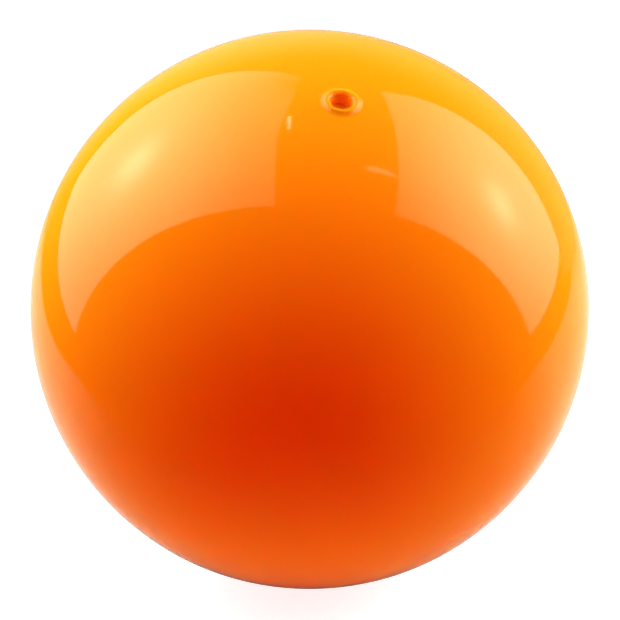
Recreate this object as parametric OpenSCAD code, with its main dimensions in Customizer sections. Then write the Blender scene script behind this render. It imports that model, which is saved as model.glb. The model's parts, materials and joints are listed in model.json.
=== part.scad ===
// Soft inflatable volleyball: a thin moulded skin, a valve socket bonded under it and a push-in needle core.
// The ball lies on the floor at the origin, with its valve on the upper front.

/* [Ball] */
// Width of the inflated ball
ball_d = 243.5; // [232:0.5:255]
// Thickness of the moulded skin
skin_wall = 0.72; // [0.5:0.02:1.2]
// Depth to which the soft ball flattens under its own weight
rest_dent = 0.3; // [0.1:0.05:0.8]
// Lean of the valve from upright, towards the front
valve_lean = 30; // [0:1:60]

/* [Valve collar] */
// Width of the open mouth
mouth_d = 9; // [7.5:0.1:11]
// Radius of the rounded lip round the mouth
lip_r = 1.6; // [1.2:0.1:2.4]
// Height of the lip's crest above the ball's round
collar_h = 0.9; // [0.5:0.1:1.5]
// Radius of the hollow in which the collar runs out into the skin
foot_r = 4; // [2:0.1:6]

/* [Valve socket] */
// Width of the flange under the skin
flange_d = 24; // [20:0.5:32]
// Thickness of the flange
flange_t = 1.2; // [0.8:0.1:2]
// Width of the barrel
barrel_d = 14; // [13:0.5:18]
// Length of the barrel below the flange
barrel_len = 11; // [9:0.5:18]
// Rounding of the barrel's inner end
barrel_round = 1; // [0.4:0.1:1.6]
// Thickness of the bond between the flange and the skin
bond_gap = 0.1; // [0.06:0.02:0.3]

/* [Valve core] */
// Depth of the core's face below the lip's crest
core_depth = 5.6; // [4.5:0.1:7]
// Width of the shelf between the mouth and the pocket of the core's head
shelf_w = 0.3; // [0.2:0.05:0.6]
// Thickness of the core's head
head_t = 1.6; // [1:0.1:2.4]
// Clearance round the core's head
head_gap = 0.2; // [0.1:0.02:0.3]
// Width of the core's stem
stem_d = 6; // [5:0.1:6.4]
// Clearance round the core's stem
stem_gap = 0.05; // [0.02:0.01:0.1]
// Length of the flat lips that stand out of the barrel's inner end
bill_len = 4; // [3:0.1:6]
// Thickness of the lips at their tip
bill_t = 1.6; // [1:0.1:2.4]
// Width of the needle passage
needle_d = 2; // [1.6:0.1:2.4]
// Width of the funnel that leads the needle in
funnel_d = 4.4; // [3.2:0.1:5.6]
// Depth of the funnel
funnel_depth = 1.4; // [0.8:0.1:2]
// Opening of the slit between the lips
slit_w = 0.12; // [0.08:0.02:0.3]
// Length of the slit across the lips
slit_span = 3.2; // [2.4:0.1:4]

/* [Hidden] */
$fn = 128;

// The ball, from the floor up
ball_r = ball_d / 2;
cavity_r = ball_r - skin_wall;
centre_z = ball_r - rest_dent;

// Cuts run this far past the faces they open
cut_over = 1;

// The valve's sections have their origin on the ball's round, with y along the valve's axis, outwards
ball_c = [0, -ball_r];
mouth_r = mouth_d / 2;
lip_c = [mouth_r + lip_r, collar_h - lip_r];
mouth_floor = -skin_wall - lip_r;

// The foot's hollow dips this far into the lip's round and the ball's round, so that their edges cross
foot_dip = 0.02;
lip_dist = norm(lip_c - ball_c);
lip_angle = atan2(lip_c.x, lip_c.y + ball_r);
foot_dist = ball_r + foot_r - foot_dip;
foot_gap = lip_r + foot_r - foot_dip;
foot_turn = acos((foot_dist ^ 2 + lip_dist ^ 2 - foot_gap ^ 2) / (2 * foot_dist * lip_dist));
foot_dir = [sin(lip_angle + foot_turn), cos(lip_angle + foot_turn)];
foot_c = ball_c + foot_dist * foot_dir;
foot_root = ball_c + (ball_r - skin_wall / 2) * foot_dir;

// The socket hangs from the skin's inner face, and the core's head sits on the ledge of its pocket
seat_r = cavity_r - bond_gap;
barrel_r = barrel_d / 2;
barrel_end = seat_r - ball_r - flange_t - barrel_len;
core_face = collar_h - core_depth;
ledge = core_face - head_t;
pocket_r = mouth_r - shelf_w;
stem_r = stem_d / 2;
stem_hole_r = stem_r + stem_gap;

// The core's passage runs from the funnel to the root of its lips
head_r = pocket_r - head_gap;
needle_r = needle_d / 2;
funnel_floor = core_face - funnel_depth;
bill_tip = barrel_end - bill_len;

// Stands a piece on the valve's axis, from its own origin on the ball's round
module on_valve_axis() {
  translate([0, 0, centre_z])
    rotate([valve_lean, 0, 0])
      translate([0, 0, ball_r])
        children();
}

// Everything below a level, as wide as the ball
module below(level) {
  translate([-ball_d, -ball_d, level - ball_d])
    cube([2 * ball_d, 2 * ball_d, ball_d]);
}

// Half a disc round the ball's centre, on the axis
module half_disc(r) {
  intersection() {
    translate(ball_c)
      circle(r);
    translate([0, -ball_d])
      square([ball_d, 2 * ball_d]);
  }
}

// The ball's round with the collar on it, and the mouth open through the collar
module skin_section() {
  difference() {
    half_disc(ball_r);
    translate([-cut_over, mouth_floor])
      square([lip_c.x + cut_over, lip_r + skin_wall + cut_over]);
  }
  translate([mouth_r, mouth_floor])
    square([lip_r, lip_c.y - mouth_floor]);
  translate(lip_c)
    circle(lip_r);
  difference() {
    polygon([lip_c, foot_root, foot_c]);
    translate(foot_c)
      circle(foot_r);
  }
}

// The air space, flattened with the skin where the ball lies
module cavity() {
  difference() {
    translate([0, 0, centre_z])
      sphere(cavity_r);
    below(skin_wall);
  }
}

module ball_skin() {
  color("orange")
    difference() {
      on_valve_axis()
        rotate_extrude()
          skin_section();
      cavity();
      below(0);
    }
}

// A barrel with a rounded inner end, reaching up into the flange
module barrel_section() {
  translate([0, barrel_end + barrel_round])
    square([barrel_r, barrel_len + flange_t - barrel_round]);
  translate([0, barrel_end])
    square([barrel_r - barrel_round, barrel_len]);
  translate([barrel_r - barrel_round, barrel_end + barrel_round])
    circle(barrel_round);
}

module socket_section() {
  difference() {
    intersection() {
      half_disc(seat_r);
      union() {
        barrel_section();
        difference() {
          translate([0, barrel_end])
            square([flange_d / 2, barrel_len + 2 * flange_t]);
          half_disc(seat_r - flange_t);
        }
      }
    }
    translate([-cut_over, core_face])
      square([mouth_r + cut_over, core_depth]);
    translate([-cut_over, ledge])
      square([pocket_r + cut_over, head_t + cut_over]);
    translate([-cut_over, barrel_end - cut_over])
      square([stem_hole_r + cut_over, ledge - barrel_end + 2 * cut_over]);
  }
}

module valve_socket() {
  color("darkorange")
    on_valve_axis()
      rotate_extrude()
        socket_section();
}

// Head and stem, with the funnel and the needle passage down to the lips
module core_section() {
  difference() {
    union() {
      translate([0, ledge])
        square([head_r, head_t]);
      translate([0, bill_tip])
        square([stem_r, ledge - bill_tip + head_t / 2]);
    }
    polygon([
      [-cut_over, core_face + cut_over],
      [funnel_d / 2, core_face + cut_over],
      [funnel_d / 2, core_face],
      [needle_r, funnel_floor],
      [needle_r, barrel_end],
      [-cut_over, barrel_end]
    ]);
  }
}

// What is left of the core once its inner end is pared down to two flat lips
module bill_wedge() {
  rotate([90, 0, 0])
    linear_extrude(height = 2 * mouth_d, center = true)
      polygon([
        [-mouth_d, core_face + cut_over],
        [-mouth_d, barrel_end],
        [-stem_hole_r, barrel_end],
        [-bill_t / 2, bill_tip],
        [bill_t / 2, bill_tip],
        [stem_hole_r, barrel_end],
        [mouth_d, barrel_end],
        [mouth_d, core_face + cut_over]
      ]);
}

// The slit opens the passage's end between the lips
module bill_slit() {
  translate([-slit_w / 2, -slit_span / 2, bill_tip - cut_over])
    cube([slit_w, slit_span, bill_len + cut_over + needle_r]);
}

module valve_core() {
  color("orangered")
    on_valve_axis()
      difference() {
        intersection() {
          rotate_extrude()
            core_section();
          bill_wedge();
        }
        bill_slit();
      }
}

ball_skin();
valve_socket();
valve_core();
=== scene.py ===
"""A soft inflatable ball with a needle valve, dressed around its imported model.

The skin, the valve's socket and its core are turned pieces: each has a section, made of arcs and straight
runs, that Geometry Nodes turn round the valve's axis.
"""
import json
import math
from collections import namedtuple

import bpy
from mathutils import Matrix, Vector


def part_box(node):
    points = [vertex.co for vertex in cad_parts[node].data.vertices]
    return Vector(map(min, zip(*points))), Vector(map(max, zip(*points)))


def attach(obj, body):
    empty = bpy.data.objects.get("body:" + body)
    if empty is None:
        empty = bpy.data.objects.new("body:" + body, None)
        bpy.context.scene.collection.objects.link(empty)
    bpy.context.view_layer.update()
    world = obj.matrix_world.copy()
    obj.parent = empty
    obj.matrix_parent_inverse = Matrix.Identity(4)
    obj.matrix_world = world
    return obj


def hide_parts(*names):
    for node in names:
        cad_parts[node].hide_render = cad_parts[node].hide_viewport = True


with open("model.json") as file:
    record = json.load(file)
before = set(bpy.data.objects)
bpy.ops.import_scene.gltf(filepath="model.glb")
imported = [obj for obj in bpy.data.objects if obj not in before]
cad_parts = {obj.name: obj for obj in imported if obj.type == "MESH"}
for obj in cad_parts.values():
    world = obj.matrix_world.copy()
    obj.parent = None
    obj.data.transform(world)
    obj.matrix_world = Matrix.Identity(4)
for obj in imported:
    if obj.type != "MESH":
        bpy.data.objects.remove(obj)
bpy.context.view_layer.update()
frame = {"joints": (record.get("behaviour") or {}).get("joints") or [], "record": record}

MM = 0.001
WHITE = (1, 1, 1, 1)

# Sizes that the frame gives
skin_low, skin_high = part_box("ball_skin")
ball_r = (skin_high.x - skin_low.x) / 2
centre = Vector((0, 0, skin_high.z - ball_r))
mounts = {mount["name"]: mount for mount in frame["record"]["mounts"]}
valve_axis = Vector(frame["joints"][0]["axis"])
valve_lean = math.atan2(-valve_axis.y, valve_axis.z)


def along_valve(mount_name, share):
    """Height over the ball's round of a bore mount's inner end (share 0) or outer end (share 1)."""
    mount = mounts[mount_name]
    middle = (Vector(mount["pos_m"]) - centre).dot(valve_axis) - ball_r
    return middle + (share - 0.5) * mount["dims"]["length_mm"] * MM


mouth_r = mounts["valve_mouth"]["dims"]["r_mm"] * MM
needle_r = mounts["needle"]["dims"]["r_mm"] * MM
lip_level = along_valve("valve_mouth", 1)
core_face = along_valve("valve_mouth", 0)
funnel_floor = along_valve("needle", 1)
barrel_end = along_valve("needle", 0)

# Sizes of the solids that the frame doesn't name. Only the core's head differs from its solid: it fills
# its pocket more closely, so that no dark ring shows round it.
skin_wall = 0.72 * MM
lip_r = 1.6 * MM
foot_r = 4 * MM
bond_gap = 0.1 * MM
flange_r = 12 * MM
flange_t = 1.2 * MM
barrel_r = 7 * MM
barrel_round = 1 * MM
pocket_r = 4.2 * MM
head_r = 4.15 * MM
head_t = 1.6 * MM
stem_r = 3 * MM
stem_hole_r = 3.05 * MM
funnel_r = 2.2 * MM
bill_len = 4 * MM
bill_t = 1.6 * MM
slit_w = 0.12 * MM
slit_span = 3.2 * MM

cavity_r = ball_r - skin_wall
seat_r = cavity_r - bond_gap
ledge = core_face - head_t
bill_tip = barrel_end - bill_len


class Link:
    """An output socket in arithmetic: each operator adds the Math node that works it out."""

    def __init__(self, graph, socket):
        self.graph = graph
        self.socket = socket

    def of(self, name):
        """Another output of the same node."""
        return Link(self.graph, self.socket.node.outputs[name])

    def __add__(self, other):
        return self.graph.maths("ADD", self, other)

    def __radd__(self, other):
        return self.graph.maths("ADD", other, self)

    def __sub__(self, other):
        return self.graph.maths("SUBTRACT", self, other)

    def __rsub__(self, other):
        return self.graph.maths("SUBTRACT", other, self)

    def __mul__(self, other):
        return self.graph.maths("MULTIPLY", self, other)

    def __truediv__(self, other):
        return self.graph.maths("DIVIDE", self, other)

    def __pow__(self, other):
        return self.graph.maths("POWER", self, other)

    def __rpow__(self, other):
        return self.graph.maths("POWER", other, self)

    def __neg__(self):
        return self.graph.maths("MULTIPLY", self, -1)

    def at_least(self, other):
        return self.graph.maths("MAXIMUM", self, other)

    def at_most(self, other):
        return self.graph.maths("MINIMUM", self, other)


class Graph:
    """A node tree, for a material, the world or Geometry Nodes, that is written as expressions."""

    def __init__(self, tree):
        self.tree = tree
        self.tree.nodes.clear()

    def node(self, kind, sockets=None, **settings):
        """Adds a node with its settings, then fills its sockets with values or links.

        Gives the node's first live output, if it has one.
        """
        node = self.tree.nodes.new(kind)
        for name, value in settings.items():
            setattr(node, name, value)
        for name, value in (sockets or {}).items():
            if isinstance(value, Link):
                self.tree.links.new(value.socket, node.inputs[name])
            else:
                node.inputs[name].default_value = value
        live = [socket for socket in node.outputs if socket.enabled]
        return Link(self, live[0]) if live else None

    def maths(self, operation, first, second):
        """A sum, product or the like of two values."""
        return self.node("ShaderNodeMath", {0: first, 1: second}, operation=operation)

    def place(self):
        """The place of a point in the piece's own coordinates."""
        return self.node("ShaderNodeTexCoord").of("Object")

    def along(self, place, direction):
        """How far a place lies along a direction."""
        sockets = {0: place, 1: direction}
        return self.node("ShaderNodeVectorMath", sockets, operation="DOT_PRODUCT").of("Value")

    def distance(self, place, point):
        """How far a place lies from a point."""
        sockets = {0: place, 1: point}
        return self.node("ShaderNodeVectorMath", sockets, operation="DISTANCE").of("Value")

    def soft_step(self, value, places, levels):
        """Goes smoothly from one level to the other while the value goes from one place to the other."""
        return self.node("ShaderNodeMapRange", {
            "Value": value,
            "From Min": places[0],
            "From Max": places[1],
            "To Min": levels[0],
            "To Max": levels[1],
        }, interpolation_type="SMOOTHSTEP")

    def mix_colour(self, share, first, second):
        """A colour between two others."""
        return self.node("ShaderNodeMix", {0: share, 6: first, 7: second}, data_type="RGBA").of(2)

    def noise(self, place, cell, detail=2.0, roughness=0.5):
        """Soft noise from 0 to 1, with cells of about the given size in metres."""
        sockets = {"Vector": place, "Scale": 1 / cell, "Detail": detail, "Roughness": roughness}
        return self.node("ShaderNodeTexNoise", sockets, noise_dimensions="3D")

    def bump(self, height, strength, depth):
        """A surface that is raised by a height from 0 to 1, of the given depth in metres."""
        return self.node("ShaderNodeBump", {"Strength": strength, "Distance": depth, "Height": height})

    def give_surface(self, shader):
        """Ends a material with its shader."""
        self.node("ShaderNodeOutputMaterial", {"Surface": shader})

    def give_light(self, level):
        """Ends a material that only gives white light."""
        self.give_surface(self.node("ShaderNodeEmission", {"Color": WHITE, "Strength": level}))


def new_finish(name):
    """An empty material and the graph that its nodes go into."""
    material = bpy.data.materials.new(name)
    material.use_nodes = True
    return material, Graph(material.node_tree)


# Finishes of the ball

def shade(colour, share, lift=0.0):
    """A deeper or paler version of a colour."""
    return tuple(min(1.0, channel * share + lift) for channel in colour) + (1,)


def glossy_skin(name, pigment, glow, share_through, roughness, sheen=(1.0, 1.0, 1.0)):
    """Soft, glossy plastic that lets light through.

    pigment is its lit colour, glow the colour of the light that comes through, share_through how much
    does, and sheen the tint of its gloss.
    """
    material, graph = new_finish(name)
    place = graph.place()
    clouds = graph.noise(place, cell=45 * MM, detail=3.0)
    grain = graph.noise(place, cell=2.2 * MM)
    haze = graph.noise(place, cell=14 * MM, detail=4.0, roughness=0.6)
    peel = graph.noise(place, cell=5 * MM, detail=1.0)
    bump = graph.bump(peel + grain * 0.2, strength=0.05, depth=0.2 * MM)
    mottle = clouds * 0.75 + grain * 0.25
    surface = graph.node("ShaderNodeBsdfPrincipled", {
        "Base Color": graph.mix_colour(mottle, shade(pigment, 0.94), shade(pigment, 1.05)),
        "Roughness": roughness + (haze - 0.5) * 0.04,
        "IOR": 1.53,
        "Specular Tint": (*sheen, 1),
        "Normal": bump,
    })
    through = graph.node("ShaderNodeBsdfTranslucent", {"Color": (*glow, 1)})
    glancing = graph.node("ShaderNodeLayerWeight", {"Blend": 0.5, "Normal": bump}).of("Facing") ** 5
    clearness = (share_through + (clouds - 0.5) * 0.06) * (1 - glancing)
    graph.give_surface(graph.node("ShaderNodeMixShader", {0: clearness, 1: surface, 2: through}))
    return material


def satin_rubber(name, pigment, roughness):
    """Soft rubber of the valve's core: matt grain, and a slightly paler bloom in patches."""
    material, graph = new_finish(name)
    place = graph.place()
    bloom = graph.noise(place, cell=3 * MM, detail=3.0)
    grain = graph.noise(place, cell=0.25 * MM, detail=3.0)
    surface = graph.node("ShaderNodeBsdfPrincipled", {
        "Base Color": graph.mix_colour(bloom, shade(pigment, 0.85), shade(pigment, 1.1, lift=0.01)),
        "Roughness": roughness + (bloom - 0.5) * 0.2,
        "Specular IOR Level": 0.1,
        "Normal": graph.bump(grain, strength=0.3, depth=0.03 * MM),
    })
    graph.give_surface(surface)
    return material


skin_pigment = (0.93, 0.44, 0.003)
skin_outside = glossy_skin("skin_outside", skin_pigment, glow=(0.928, 0.285, 0.0015),
                           share_through=0.57, roughness=0.06, sheen=(1.0, 0.9, 0.395))
skin_inside = glossy_skin("skin_inside", skin_pigment, glow=(0.952, 0.365, 0.003),
                          share_through=0.92, roughness=0.35)
socket_gloss = glossy_skin("socket_gloss", (0.97, 0.48, 0.004), glow=(0.99, 0.43, 0.002),
                           share_through=0.42, roughness=0.25)
core_rubber = satin_rubber("core_rubber", (0.99, 0.25, 0.001), roughness=0.7)


# Sections: how far from the valve's axis, how high over the ball's round, the lowest level that the point
# may reach in the ball's frame, and how far the piece may stand out to either side of the axis there

Station = namedtuple("Station", "r h lowest half_width", defaults=(-1.0, 1.0))
ball_middle = Vector((0, -ball_r))


def station_at(middle, radius, angle, **limits):
    """A station on a round, at an angle in radians from the axis's outward direction."""
    return Station(middle.x + radius * math.sin(angle), middle.y + radius * math.cos(angle), **limits)


def arc(middle, radius, start, end, steps, ease=1.0, **limits):
    """Stations along an arc from one angle to another, the first one left out."""
    stations = []
    for step in range(1, steps + 1):
        angle = start + (end - start) * (step / steps) ** ease
        stations.append(station_at(middle, radius, angle, **limits))
    return stations


def rounded(corners, steps=5):
    """A closed section with its corners rounded off: each is a station and the radius of its rounding."""
    stations = []
    for index, (corner, radius) in enumerate(corners):
        if radius == 0:
            stations.append(corner)
            continue
        here = Vector((corner.r, corner.h))
        before = corners[index - 1][0]
        after = corners[(index + 1) % len(corners)][0]
        back = (Vector((before.r, before.h)) - here).normalized()
        ahead = (Vector((after.r, after.h)) - here).normalized()
        half_angle = back.angle(ahead) / 2
        reach = radius / math.tan(half_angle)
        middle = here + (back + ahead).normalized() * (radius / math.sin(half_angle))
        first = here + back * reach - middle
        last = here + ahead * reach - middle
        for step in range(steps + 1):
            spoke = first.lerp(last, step / steps).normalized() * radius + middle
            stations.append(corner._replace(r=spoke.x, h=spoke.y))
    return stations


def bearing(start, end):
    """The angle of the way from one point of a section to another, from the axis's outward direction."""
    return math.atan2(end.x - start.x, end.y - start.y)


def height_on(radius, r):
    """The height, at a distance from the axis, of a round about the ball's centre."""
    return math.sqrt(radius ** 2 - r ** 2) - ball_r


def skin_section():
    """From the pole under the ball, up outside over the collar's foot and lip, and back down inside."""
    lip_middle = Vector((mouth_r + lip_r, lip_level))
    lip_distance = (lip_middle - ball_middle).length
    foot_distance = ball_r + foot_r
    squares = foot_distance ** 2 + lip_distance ** 2 - (lip_r + foot_r) ** 2
    foot_turn = math.acos(squares / (2 * foot_distance * lip_distance))
    foot_bearing = bearing(ball_middle, lip_middle) + foot_turn
    foot_middle = ball_middle + foot_distance * Vector((math.sin(foot_bearing), math.cos(foot_bearing)))

    outside = arc(ball_middle, ball_r, foot_bearing, math.pi, steps=150, ease=1.5, lowest=0.0)[::-1]
    root = station_at(ball_middle, ball_r, foot_bearing, lowest=0.0)
    hollow_end = bearing(foot_middle, lip_middle) + 2 * math.pi
    hollow = arc(foot_middle, foot_r, foot_bearing + math.pi, hollow_end, steps=10, lowest=0.0)
    lip = arc(lip_middle, lip_r, bearing(lip_middle, foot_middle), -math.pi / 2, steps=28, lowest=0.0)

    edge = Station(mouth_r, height_on(cavity_r, mouth_r), lowest=skin_wall)
    edge_bearing = math.asin(mouth_r / cavity_r)
    inside = arc(ball_middle, cavity_r, edge_bearing, math.pi, steps=100, ease=1.4, lowest=skin_wall)
    return outside + [root] + hollow + lip + [edge] + inside


def socket_section():
    """Round the sleeve: its flange under the skin, its barrel, and the stepped bore for the core."""
    edge = 0.2 * MM
    fillet = 0.5 * MM
    fillet_reach = 0.6 * MM
    under_r = seat_r - flange_t
    top = arc(ball_middle, seat_r, math.asin(mouth_r / seat_r), math.asin(flange_r / seat_r), steps=12)
    under = arc(ball_middle, under_r, math.asin(flange_r / under_r),
                math.asin((barrel_r + fillet_reach) / under_r), steps=8)
    corners = [(Station(mouth_r, height_on(seat_r, mouth_r)), edge / 2)]
    corners += [(station, 0) for station in top[:-1]]
    corners += [(top[-1], edge), (Station(flange_r, height_on(under_r, flange_r)), edge)]
    corners += [(station, 0) for station in under[:-1]]
    corners += [
        (Station(barrel_r, height_on(under_r, barrel_r)), fillet),
        (Station(barrel_r, barrel_end), barrel_round),
        (Station(stem_hole_r, barrel_end), edge),
        (Station(stem_hole_r, ledge), edge / 2),
        (Station(pocket_r, ledge), edge / 2),
        (Station(pocket_r, core_face), edge / 4),
        (Station(mouth_r, core_face), edge / 4),
    ]
    return rounded(corners)[::-1]


def core_section():
    """Round the core: its head, its stem pared to two flat lips, the slit, the passage and the funnel."""
    funnel_round = 0.15 * MM
    head_round = 0.1 * MM
    head_under_round = 0.2 * MM
    stem_fillet = 0.15 * MM
    passage_round = 0.3 * MM
    slit_end = barrel_end + 0.2 * MM
    passage_end = barrel_end + 0.8 * MM
    slit_half = slit_w / 2
    tip_half = bill_t / 2
    bill_steps = 12
    outer_bill = []
    for step in range(bill_steps + 1):
        share = step / bill_steps
        level = barrel_end + (bill_tip - barrel_end) * share
        half_width = stem_r + (tip_half - stem_r) * share
        outer_bill.append((Station(stem_r, level, half_width=half_width), 0))
    corners = [
        (Station(funnel_r, core_face), funnel_round),
        (Station(head_r, core_face), head_round),
        (Station(head_r, ledge), head_under_round),
        (Station(stem_r, ledge), stem_fillet),
        *outer_bill,
        (Station(slit_span / 2, bill_tip, half_width=slit_half), 0),
        (Station(slit_span / 2, slit_end, half_width=slit_half), 0),
        (Station(needle_r, passage_end), 0),
        (Station(needle_r, funnel_floor), passage_round),
    ]
    return rounded(corners)[::-1]


# Geometry Nodes: a section turned round the valve's axis

TURN_R = 1.0
MERGE_GAP = 0.002 * MM


def turned_piece_tree():
    """Turns the section, pares it, leans it with the valve and flattens it where the ball lies."""
    tree = bpy.data.node_groups.new("turned_piece", "GeometryNodeTree")
    sockets = {
        "Section": "NodeSocketGeometry",
        "Steps around": "NodeSocketInt",
        "Ball radius": "NodeSocketFloat",
        "Centre height": "NodeSocketFloat",
        "Valve lean": "NodeSocketFloat",
        "Finish": "NodeSocketMaterial",
        "Inner finish": "NodeSocketMaterial",
    }
    for name, kind in sockets.items():
        tree.interface.new_socket(name, in_out="INPUT", socket_type=kind)
    tree.interface.new_socket("Piece", in_out="OUTPUT", socket_type="NodeSocketGeometry")

    graph = Graph(tree)
    given = graph.node("NodeGroupInput")

    def named(name):
        return graph.node("GeometryNodeInputNamedAttribute", {"Name": name}, data_type="FLOAT")

    def vector(x=0, y=0, z=0):
        return graph.node("ShaderNodeCombineXYZ", {"X": x, "Y": y, "Z": z})

    def moved(geometry, **shift):
        return graph.node("GeometryNodeTransform", {"Geometry": geometry, "Translation": vector(**shift)})

    def parted():
        return graph.node("ShaderNodeSeparateXYZ", {0: graph.node("GeometryNodeInputPosition")})

    def reshaped(geometry, x, y, z):
        return graph.node("GeometryNodeSetPosition", {"Geometry": geometry, "Position": vector(x, y, z)})

    section = graph.node("GeometryNodeMeshToCurve", {"Mesh": moved(given, x=-TURN_R)})
    ring = graph.node("GeometryNodeCurvePrimitiveCircle",
                      {"Resolution": given.of("Steps around"), "Radius": TURN_R})
    turned = graph.node("GeometryNodeCurveToMesh", {"Curve": ring, "Profile Curve": section})
    closed = graph.node("GeometryNodeMergeByDistance", {"Geometry": turned, "Distance": MERGE_GAP})
    upright = graph.node("GeometryNodeTransform", {"Geometry": closed, "Rotation": (math.pi, 0, 0)})

    at = parted()
    half_width = named("half_width")
    pared_x = at.of("X").at_most(half_width).at_least(-half_width)
    pared = reshaped(upright, pared_x, at.of("Y"), at.of("Z"))

    raised = moved(pared, z=given.of("Ball radius"))
    leaning = graph.node("GeometryNodeTransform",
                         {"Geometry": raised, "Rotation": vector(x=given.of("Valve lean"))})
    placed = moved(leaning, z=given.of("Centre height"))

    at = parted()
    lowest = named("lowest")
    rested = reshaped(placed, at.of("X"), at.of("Y"), at.of("Z").at_least(lowest))

    smooth = graph.node("GeometryNodeSetShadeSmooth", {"Geometry": rested})
    real = graph.node("GeometryNodeRealizeInstances", {"Geometry": smooth})
    dressed = graph.node("GeometryNodeSetMaterial", {"Geometry": real, "Material": given.of("Finish")})
    inside = graph.node("FunctionNodeCompare", {0: lowest, 1: skin_wall / 2}, operation="GREATER_THAN")
    lined = graph.node("GeometryNodeSetMaterial",
                       {"Geometry": dressed, "Selection": inside, "Material": given.of("Inner finish")})
    graph.node("NodeGroupOutput", {"Piece": lined})
    return tree


def turned_piece(name, tree, stations, is_closed, steps_around, finish, inner_finish):
    """A plain mesh object of the section turned round the valve's axis."""
    mesh = bpy.data.meshes.new(name + "_section")
    edges = [(index, index + 1) for index in range(len(stations) - 1)]
    if is_closed:
        edges.append((len(stations) - 1, 0))
    mesh.from_pydata([(station.r, station.h, 0) for station in stations], edges, [])
    for limit in ("lowest", "half_width"):
        layer = mesh.attributes.new(limit, "FLOAT", "POINT")
        layer.data.foreach_set("value", [getattr(station, limit) for station in stations])
    piece = bpy.data.objects.new(name, mesh)
    bpy.context.scene.collection.objects.link(piece)

    modifier = piece.modifiers.new("turning", "NODES")
    modifier.node_group = tree
    sizes = {
        "Steps around": steps_around,
        "Ball radius": ball_r,
        "Centre height": centre.z,
        "Valve lean": valve_lean,
        "Finish": finish,
        "Inner finish": inner_finish,
    }
    for socket in tree.interface.items_tree:
        if socket.name in sizes:
            modifier[socket.identifier] = sizes[socket.name]
    evaluated = piece.evaluated_get(bpy.context.evaluated_depsgraph_get())
    turned = bpy.data.meshes.new_from_object(evaluated)
    piece.modifiers.remove(modifier)
    turned.name = name
    piece.data = turned
    bpy.data.meshes.remove(mesh)
    for limit in ("lowest", "half_width"):
        turned.attributes.remove(turned.attributes[limit])
    return piece


turning = turned_piece_tree()
skin = turned_piece("skin", turning, skin_section(), is_closed=False, steps_around=256,
                    finish=skin_outside, inner_finish=skin_inside)
socket = turned_piece("socket", turning, socket_section(), is_closed=True, steps_around=128,
                      finish=socket_gloss, inner_finish=socket_gloss)
core = turned_piece("core", turning, core_section(), is_closed=True, steps_around=128,
                    finish=core_rubber, inner_finish=core_rubber)
sharp_angle = math.radians(45)
for piece in (socket, core):
    piece.data.set_sharp_from_angle(angle=sharp_angle)

bodies = ((skin, "ball_skin", "ball"), (socket, "valve_socket", "ball"), (core, "valve_core", "core"))
for piece, node_name, body in bodies:
    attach(piece, body)
    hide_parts(node_name)


# Camera: level axes of the set, seen from the camera, are right, up and towards it

camera_up = math.radians(16.36)
camera_left = math.radians(12.35)
camera_distance = 1.25
frame_px = 620
ball_px = Vector((309.6, 309.3))
ball_radius_px = 279.75
sensor = 36.0

level_towards = Vector((-math.sin(camera_left), -math.cos(camera_left), 0))
level_right = Vector((math.cos(camera_left), -math.sin(camera_left), 0))
upwards = Vector((0, 0, 1))


def on_set(right, up, towards):
    """A point of the set, from the ball's centre."""
    return centre + level_right * right + upwards * up + level_towards * towards


camera_data = bpy.data.cameras.new("camera")
camera_data.sensor_width = sensor
focal_px = ball_radius_px / math.tan(math.asin(ball_r / camera_distance))
camera_data.lens = focal_px * sensor / frame_px
camera_data.shift_x = (frame_px / 2 - ball_px.x) / frame_px
camera_data.shift_y = (ball_px.y - frame_px / 2) / frame_px
camera = bpy.data.objects.new("camera", camera_data)
camera.location = on_set(0, camera_distance * math.sin(camera_up), camera_distance * math.cos(camera_up))
camera.rotation_euler = (centre - camera.location).to_track_quat("-Z", "Y").to_euler()
bpy.context.scene.collection.objects.link(camera)
bpy.context.scene.camera = camera


# Studio: two lit panels over the ball with a slim rod beside each, a pale table, a backdrop and a dim
# room. The camera sees none of them, only the floor. The panels, the table and the backdrop are pairs of
# sheets in the same place: one lights the ball, and the other shows in its gloss.

where_ball_lies = (0, 0, 0)


def stage_mesh(name, vertices, faces, material):
    """An object of the set, which isn't part of the ball."""
    mesh = bpy.data.meshes.new(name)
    mesh.from_pydata([tuple(vertex) for vertex in vertices], [], faces)
    mesh.materials.append(material)
    obj = bpy.data.objects.new(name, mesh)
    bpy.context.scene.collection.objects.link(obj)
    return obj


def hide_from(obj, *rays):
    """Hides an object of the set from the given kinds of ray."""
    for ray in rays:
        setattr(obj, "visible_" + ray, False)


def light_sheet(name, corners, material):
    """A flat sheet that lights the object, and doesn't show in its gloss."""
    sheet = stage_mesh(name, corners, [tuple(range(len(corners)))], material)
    hide_from(sheet, "camera", "shadow", "glossy")


def gloss_sheet(name, corners, material):
    """A flat sheet that only shows in the object's gloss, and doesn't light it."""
    sheet = stage_mesh(name, corners, [tuple(range(len(corners)))], material)
    hide_from(sheet, "camera", "shadow", "diffuse", "transmission")


def panel_light(name, level):
    """A lit cloth whose light falls off towards its front end."""
    material, graph = new_finish(name)
    front = graph.along(graph.place(), level_towards)
    graph.give_light(graph.soft_step(front, places=(0.0, 0.4), levels=(1.0, 0.25)) * level)
    return material


Halo = namedtuple("Halo", "place level spread")


def lamp_sheen(name, cloth_level, halos):
    """The cloth as it shows in the gloss, with the lamp behind it as bright spots that fade outwards.

    A halo with a level below zero is a dim spot.
    """
    material, graph = new_finish(name)
    place = graph.place()
    strength = cloth_level
    for halo in halos:
        gap = graph.distance(place, on_set(*halo.place))
        strength = strength + math.e ** -((gap / halo.spread) ** 2) * halo.level
    graph.give_light(strength)
    return material


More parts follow.
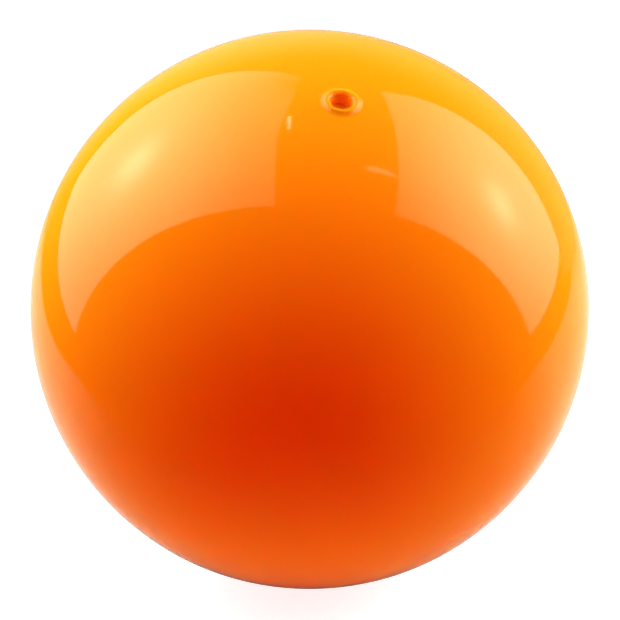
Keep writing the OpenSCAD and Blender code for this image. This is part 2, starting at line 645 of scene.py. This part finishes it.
def panel(name, corners, light_level, cloth_level, halos):
    """A flat panel. Its corners and the halos on it are right, up and towards the camera."""
    places = [on_set(*corner) for corner in corners]
    light_sheet(name + "_light", places, panel_light(name + "_light", light_level))
    gloss_sheet(name + "_gloss", places, lamp_sheen(name + "_gloss", cloth_level, halos))


def rod(name, corners, level):
    """A slim, evenly bright fitting beside a panel, which only shows in the gloss."""
    material, graph = new_finish(name)
    graph.give_light(level)
    gloss_sheet(name, [on_set(*corner) for corner in corners], material)


panel("left_panel",
      corners=[(-0.161, 0.63, 0.437), (-0.111, 0.637, 0.061), (-0.045, 0.69, -0.20), (-0.03, 0.68, -0.34),
               (-0.393, 0.115, -0.39), (-0.56, -0.083, -0.08)],
      light_level=6.7,
      cloth_level=2.5,
      halos=[Halo(place=(-0.31, 0.285, 0.02), level=5.8, spread=0.24),
             Halo(place=(-0.333, 0.269, -0.084), level=7.0, spread=0.06),
             Halo(place=(-0.04, 0.685, -0.26), level=-2.1, spread=0.12)])
panel("right_panel",
      corners=[(0.435, 0.625, 0.422), (0.235, 0.655, -0.30), (0.565, 0.045, -0.35),
               (0.741, -0.095, -0.018)],
      light_level=8.15,
      cloth_level=1.8,
      halos=[Halo(place=(0.505, 0.31, 0.015), level=6.6, spread=0.33),
             Halo(place=(0.512, 0.274, -0.063), level=7.6, spread=0.066)])
rod("left_rod",
    corners=[(-0.077, 0.674, -0.042), (-0.065, 0.693, -0.043), (-0.067, 0.701, 0.034),
             (-0.079, 0.681, 0.033)],
    level=14)
rod("right_rod",
    corners=[(0.279, 0.804, 0.232), (0.306, 0.745, 0.203), (0.331, 0.698, 0.194), (0.362, 0.644, 0.189),
             (0.369, 0.638, 0.204), (0.343, 0.693, 0.226), (0.317, 0.741, 0.237), (0.288, 0.8, 0.256)],
    level=5)


def floor_paint():
    """Pale floor. Away from the ball it glows white to the camera; near the ball its glow is painted
    dimmer, a painted shade, so that it keeps the ball's shadow.
    """
    material, graph = new_finish("floor_paint")
    from_ball = graph.distance(graph.place(), where_ball_lies)
    surface = graph.node("ShaderNodeBsdfPrincipled", {
        "Base Color": (0.4, 0.4, 0.4, 1),
        "Roughness": 0.8,
        "Specular IOR Level": 0.2,
        "Emission Color": WHITE,
        "Emission Strength": graph.soft_step(from_ball, places=(0.03, 0.30), levels=(0.86, 1.0)),
    })
    graph.give_surface(surface)
    return material


def table_sheen():
    """The table as it shows in the gloss, a glow with its light and shade painted in: white behind the
    ball, dimmer far back and in front, and a painted shade of the ball where it lies.
    """
    material, graph = new_finish("table_sheen")
    place = graph.place()
    front = graph.along(place, level_towards)
    from_ball = graph.distance(place, where_ball_lies)
    behind = graph.soft_step(front, places=(-0.11, 0.105), levels=(1.08, 0.13))
    far_back = graph.soft_step(front, places=(-1.15, -0.45), levels=(0.35, 1.0))
    # Painted shadow of the ball: the glow is dimmed near the spot where the ball lies.
    painted_contact_shade = graph.soft_step(from_ball, places=(0.02, 0.09), levels=(0.1, 1.0))
    graph.give_light(behind * far_back * painted_contact_shade)
    return material


def backdrop_sheen():
    """The backdrop as it shows in the gloss, a glow with its light painted in: brightest behind the ball,
    dark at the left and high up.
    """
    material, graph = new_finish("backdrop_sheen")
    place = graph.place()
    side = graph.along(place, level_right)
    rise = graph.soft_step(side, places=(-0.85, -0.25), levels=(0.04, 0.5))
    fall = graph.soft_step(side, places=(-0.15, 0.3), levels=(1.0, 0.58))
    fade = graph.soft_step(graph.along(place, upwards), places=(0.65, 1.3), levels=(1.0, 0.2))
    graph.give_light(rise * fall * fade)
    return material


def matt_paint(name, grey):
    """Even grey paint without gloss."""
    material, graph = new_finish(name)
    graph.give_surface(graph.node("ShaderNodeBsdfDiffuse", {"Color": (grey, grey, grey, 1)}))
    return material


table_drop = 0.5 * MM
table_edge = [(-0.63, -1.06), (-0.665, -0.85), (-0.61, -0.61), (-0.55, -0.44), (-0.47, -0.22),
              (-0.385, -0.045), (-0.25, 0.075), (-0.10, 0.14), (0.05, 0.155), (0.22, 0.125), (0.43, 0.0),
              (0.58, -0.17), (0.76, -0.45), (0.896, -0.71), (1.0, -0.88), (1.1, -1.06)]
table_corners = [on_set(right, -centre.z - table_drop, towards) for right, towards in table_edge[::-1]]
light_sheet("table_light", table_corners, matt_paint("table_paint", grey=0.82))
gloss_sheet("table_gloss", table_corners, table_sheen())

floor_half = 6.0
floor_drop = 0.05 * MM
floor_corners = [(-floor_half, -floor_half, -floor_drop), (floor_half, -floor_half, -floor_drop),
                 (floor_half, floor_half, -floor_drop), (-floor_half, floor_half, -floor_drop)]
floor = stage_mesh("floor", floor_corners, [(0, 1, 2, 3)], floor_paint())
hide_from(floor, "diffuse", "glossy", "transmission", "shadow")

backdrop_half = 1.6
backdrop_back = -1.1
backdrop_high = 2.0
backdrop_edge = [(-backdrop_half, -centre.z), (backdrop_half, -centre.z),
                 (backdrop_half, backdrop_high), (-backdrop_half, backdrop_high)]
backdrop_corners = [on_set(right, up, backdrop_back) for right, up in backdrop_edge]
light_sheet("backdrop_light", backdrop_corners, matt_paint("backdrop_paint", grey=0.9))
gloss_sheet("backdrop_gloss", backdrop_corners, backdrop_sheen())

room_half = 3.0
room_low = -0.8
room_high = 2.2
room_corners = [(x, y, z) for z in (room_low, room_high)
                for y in (-room_half, room_half) for x in (-room_half, room_half)]
room_walls = [(0, 1, 3, 2), (4, 6, 7, 5), (0, 4, 5, 1), (2, 3, 7, 6), (0, 2, 6, 4), (1, 5, 7, 3)]
room = stage_mesh("room", room_corners, room_walls, matt_paint("room_paint", grey=0.24))
hide_from(room, "camera")


def seen_rays(graph):
    """1 for what the camera sees, itself, in gloss or through clear pieces, and 0 for light on the ball."""
    path = graph.node("ShaderNodeLightPath")
    seen = path.of("Is Camera Ray").at_least(path.of("Is Glossy Ray"))
    return seen.at_least(path.of("Is Transmission Ray"))


world = bpy.data.worlds.new("studio_air")
world.use_nodes = True
bpy.context.scene.world = world
air = Graph(world.node_tree)
unseen_level = 0.3
air_level = unseen_level + seen_rays(air) * (1 - unseen_level)
air_light = air.node("ShaderNodeBackground", {"Color": WHITE, "Strength": air_level})
air.node("ShaderNodeOutputWorld", {"Surface": air_light})

bpy.context.scene.view_settings.view_transform = "Standard"
